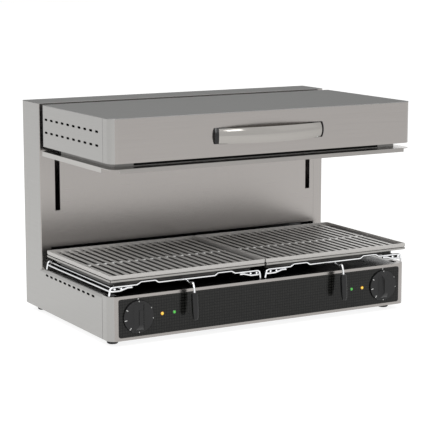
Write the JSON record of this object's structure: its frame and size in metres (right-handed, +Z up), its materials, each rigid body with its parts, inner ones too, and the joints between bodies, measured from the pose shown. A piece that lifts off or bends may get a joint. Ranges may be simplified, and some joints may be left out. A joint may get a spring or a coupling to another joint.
{
  "type": "salamander grill",
  "caption": "Counter-top electric grill with a counterbalanced lifting heating head over ribbed grids, drip pans and pull-out wire racks.",
  "frame": {"origin": "centre of the bounding box at table level", "axes": "+X to the viewer's right along the width, +Y to the rear, +Z up"},
  "size_m": [0.8, 0.532, 0.512],
  "materials": {
    "side_steel": "satin",
    "front_steel": "satin",
    "inner_steel": "satin",
    "grid_steel": "satin",
    "pan_steel": "satin",
    "black_enamel": "gloss",
    "panel_black": "satin",
    "black_plastic": "satin",
    "rubber_black": "matte",
    "lens_green": "gloss",
    "lens_amber": "gloss",
    "chrome_wire": "polished",
    "rod_chrome": "polished",
    "zinc": "satin",
    "bronze": "satin",
    "fibre_board": "matte",
    "terminal_cream": "matte",
    "regulator": "matte",
    "element_dark": "satin",
    "weight_iron": "matte",
    "pulley_black": "satin",
    "rope_steel": "satin"
  },
  "bodies": {
    "casing": {"base_front_wrap": "front_steel", "side_panel_left": "side_steel", "side_panel_right": "side_steel", "base_floor": "inner_steel", "base_deck": "black_enamel", "recess_liner": "black_enamel", "feet": "rubber_black", "control_panel": "panel_black", "green_lamps": "lens_green", "amber_lamps": "lens_amber", "thermostats": "regulator", "terminal_block": "terminal_cream", "column_front": "front_steel", "column_cap": "front_steel", "rear_cover": "side_steel", "cable_glands": "black_plastic", "casing_screws": "zinc", "guide_rods": "rod_chrome", "rod_brackets": "inner_steel", "stop_collars": "rubber_black", "pulley_brackets": "inner_steel", "cable_tops": "rope_steel"},
    "knob_l": {"knob_left": "black_plastic"},
    "knob_r": {"knob_right": "black_plastic"},
    "pulley_l": {"pulley_left": "pulley_black"},
    "pulley_r": {"pulley_right": "pulley_black"},
    "weight": {"cable_backs": "rope_steel", "counterweight": "weight_iron", "weight_hooks": "zinc"},
    "head": {"head_front_wrap": "front_steel", "head_side_left": "side_steel", "head_side_right": "side_steel", "head_top": "front_steel", "head_back": "front_steel", "head_floor": "inner_steel", "heater_pan": "inner_steel", "vent_strip": "black_enamel", "insulation_board": "fibre_board", "heating_elements": "element_dark", "element_brackets": "zinc", "flange_plate": "inner_steel", "spacers": "zinc", "handle_strap": "front_steel", "handle_ends": "black_plastic", "handle_bolts": "zinc", "lift_arms": "inner_steel", "carriages": "inner_steel", "bushes": "bronze", "flex_conduit": "pulley_black", "cable_fronts": "rope_steel"},
    "rack_l": {"rack_left": "chrome_wire", "rack_grip_left": "black_plastic"},
    "rack_r": {"rack_right": "chrome_wire", "rack_grip_right": "black_plastic"},
    "drip_pan_l": {"pan_left": "pan_steel"},
    "drip_pan_r": {"pan_right": "pan_steel"},
    "grid_l": {"grid_left": "grid_steel"},
    "grid_r": {"grid_right": "grid_steel"}
  },
  "joints": [
    {"name": "head_lift", "type": "slide", "parent": "casing", "child": "head", "axis": [0, 0, 1], "range_m": [-0.17, 0], "deforming": ["cable_fronts", "flex_conduit"]},
    {"name": "weight_travel", "type": "slide", "parent": "casing", "child": "weight", "axis": [0, 0, 1], "range_m": [0, 0.17], "deforming": ["cable_backs"]},
    {"name": "pulley_left_spin", "type": "hinge", "parent": "casing", "child": "pulley_l", "pos_m": [-0.312, 0.205, 0.478], "axis": [0, 1, 0], "range_deg": [-390, 0]},
    {"name": "pulley_right_spin", "type": "hinge", "parent": "casing", "child": "pulley_r", "pos_m": [0.312, 0.205, 0.478], "axis": [0, 1, 0], "range_deg": [0, 390]},
    {"name": "knob_left_turn", "type": "hinge", "parent": "casing", "child": "knob_l", "pos_m": [-0.331, -0.22, 0.067], "axis": [0, 1, 0], "range_deg": [0, 300]},
    {"name": "knob_right_turn", "type": "hinge", "parent": "casing", "child": "knob_r", "pos_m": [0.331, -0.22, 0.067], "axis": [0, 1, 0], "range_deg": [0, 300]},
    {"name": "rack_left_pull", "type": "slide", "parent": "casing", "child": "rack_l", "axis": [0, -1, 0], "range_m": [0, 0.2]},
    {"name": "rack_right_pull", "type": "slide", "parent": "casing", "child": "rack_r", "axis": [0, -1, 0], "range_m": [0, 0.2]},
    {"name": "pan_left_lift", "type": "slide", "parent": "rack_l", "child": "drip_pan_l", "axis": [0, 0, 1], "range_m": [0, 0.03]},
    {"name": "pan_right_lift", "type": "slide", "parent": "rack_r", "child": "drip_pan_r", "axis": [0, 0, 1], "range_m": [0, 0.03]},
    {"name": "grid_left_lift", "type": "slide", "parent": "drip_pan_l", "child": "grid_l", "axis": [0, 0, 1], "range_m": [0, 0.04]},
    {"name": "grid_right_lift", "type": "slide", "parent": "drip_pan_r", "child": "grid_r", "axis": [0, 0, 1], "range_m": [0, 0.04]}
  ],
  "couplings": [
    {"joint": "weight_travel", "follows": "head_lift", "ratio": -1},
    {"joint": "pulley_left_spin", "follows": "head_lift", "rad_per_m": 40},
    {"joint": "pulley_right_spin", "follows": "head_lift", "rad_per_m": -40}
  ]
}
